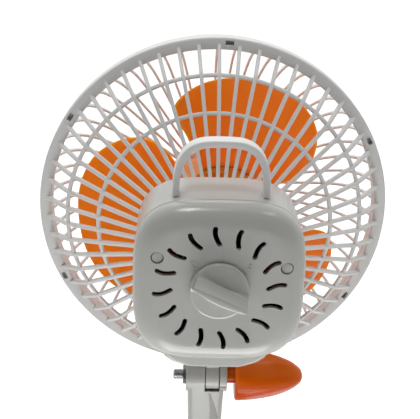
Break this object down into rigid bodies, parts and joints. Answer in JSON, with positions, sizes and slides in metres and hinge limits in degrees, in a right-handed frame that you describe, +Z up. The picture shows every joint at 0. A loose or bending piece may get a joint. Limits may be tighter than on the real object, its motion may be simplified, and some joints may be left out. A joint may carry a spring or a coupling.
{
  "type": "clip fan",
  "caption": "Small round clip fan with caged blades, a rounded motor housing with a rotary switch and carry handle, a tilting neck with a wing knob, and a sprung clip.",
  "frame": {"origin": "middle of the clip's flat underside, straight below the neck", "axes": "+Z up along the neck, +Y to the rear, where the switch is, -Y the way the air leaves, +X to the side of the nut"},
  "size_m": [0.178, 0.1493, 0.2708],
  "materials": {
    "white_plastic": "satin off-white moulded plastic, slightly translucent",
    "grey_plastic": "satin light grey moulded plastic",
    "orange_plastic": "glossy orange moulded plastic, slightly translucent",
    "amber_plastic": "glossy tinted orange plastic",
    "steel": "zinc-plated steel",
    "laminated_steel": "varnished motor laminations",
    "winding": "taped and varnished copper winding",
    "rubber": "matt dark grey rubber",
    "black_plastic": "matt black plastic"
  },
  "bodies": {
    "clip": {"clip_top": "grey_plastic", "clip_pin": "steel", "clip_spring": "steel", "pad_upper": "rubber"},
    "jaw": {"clip_jaw": "grey_plastic", "pad_lower": "rubber"},
    "neck": {"neck": "grey_plastic", "cord_gland": "rubber", "tilt_nut": "steel", "swivel_washer": "steel", "swivel_screw": "steel"},
    "wing_knob": {"tilt_knob": "amber_plastic", "tilt_bolt": "steel"},
    "head": {"front_grille": "white_plastic", "front_cap": "white_plastic", "rear_grille": "white_plastic", "cage_screw_1": "steel", "cage_screw_2": "steel", "cage_screw_3": "steel", "stator_core": "laminated_steel", "coil_left": "winding", "coil_right": "winding", "motor_bracket_front": "steel", "motor_bracket_rear": "steel", "bearing_front": "steel", "bearing_rear": "steel", "front_housing": "white_plastic", "rear_cover": "grey_plastic", "carry_handle": "white_plastic", "plug_left": "grey_plastic", "plug_right": "grey_plastic", "switch_body": "black_plastic"},
    "rotor_and_blade": {"fan_blade": "orange_plastic", "blade_retainer": "orange_plastic", "motor_shaft": "steel", "rotor": "laminated_steel"},
    "switch": {"switch_knob": "grey_plastic"}
  },
  "joints": [
    {"name": "jaw_open", "type": "hinge", "parent": "clip", "child": "jaw", "pos_m": [0, 0.006, 0.026], "axis": [1, 0, 0], "range_deg": [0, 30], "stiffness_Nm_per_rad": 1.6, "springref_deg": -20.05},
    {"name": "neck_swivel", "type": "hinge", "parent": "clip", "child": "neck", "pos_m": [0, 0, 0.06], "axis": [0, 0, 1], "range_deg": [-90, 90]},
    {"name": "head_tilt", "type": "hinge", "parent": "neck", "child": "head", "pos_m": [0, 0, 0.117], "axis": [-1, 0, 0], "range_deg": [-20, 80]},
    {"name": "tilt_knob_turn", "type": "hinge", "parent": "neck", "child": "wing_knob", "pos_m": [0, 0, 0.117], "axis": [-1, 0, 0], "range_deg": [0, 540]},
    {"name": "fan_spin", "type": "hinge", "parent": "head", "child": "rotor_and_blade", "pos_m": [-0.003, -0.061, 0.182], "axis": [0, -1, 0], "continuous": true},
    {"name": "switch_turn", "type": "hinge", "parent": "head", "child": "switch", "pos_m": [-0.003, 0.039, 0.182], "axis": [0, -1, 0], "range_deg": [0, 90]}
  ]
}
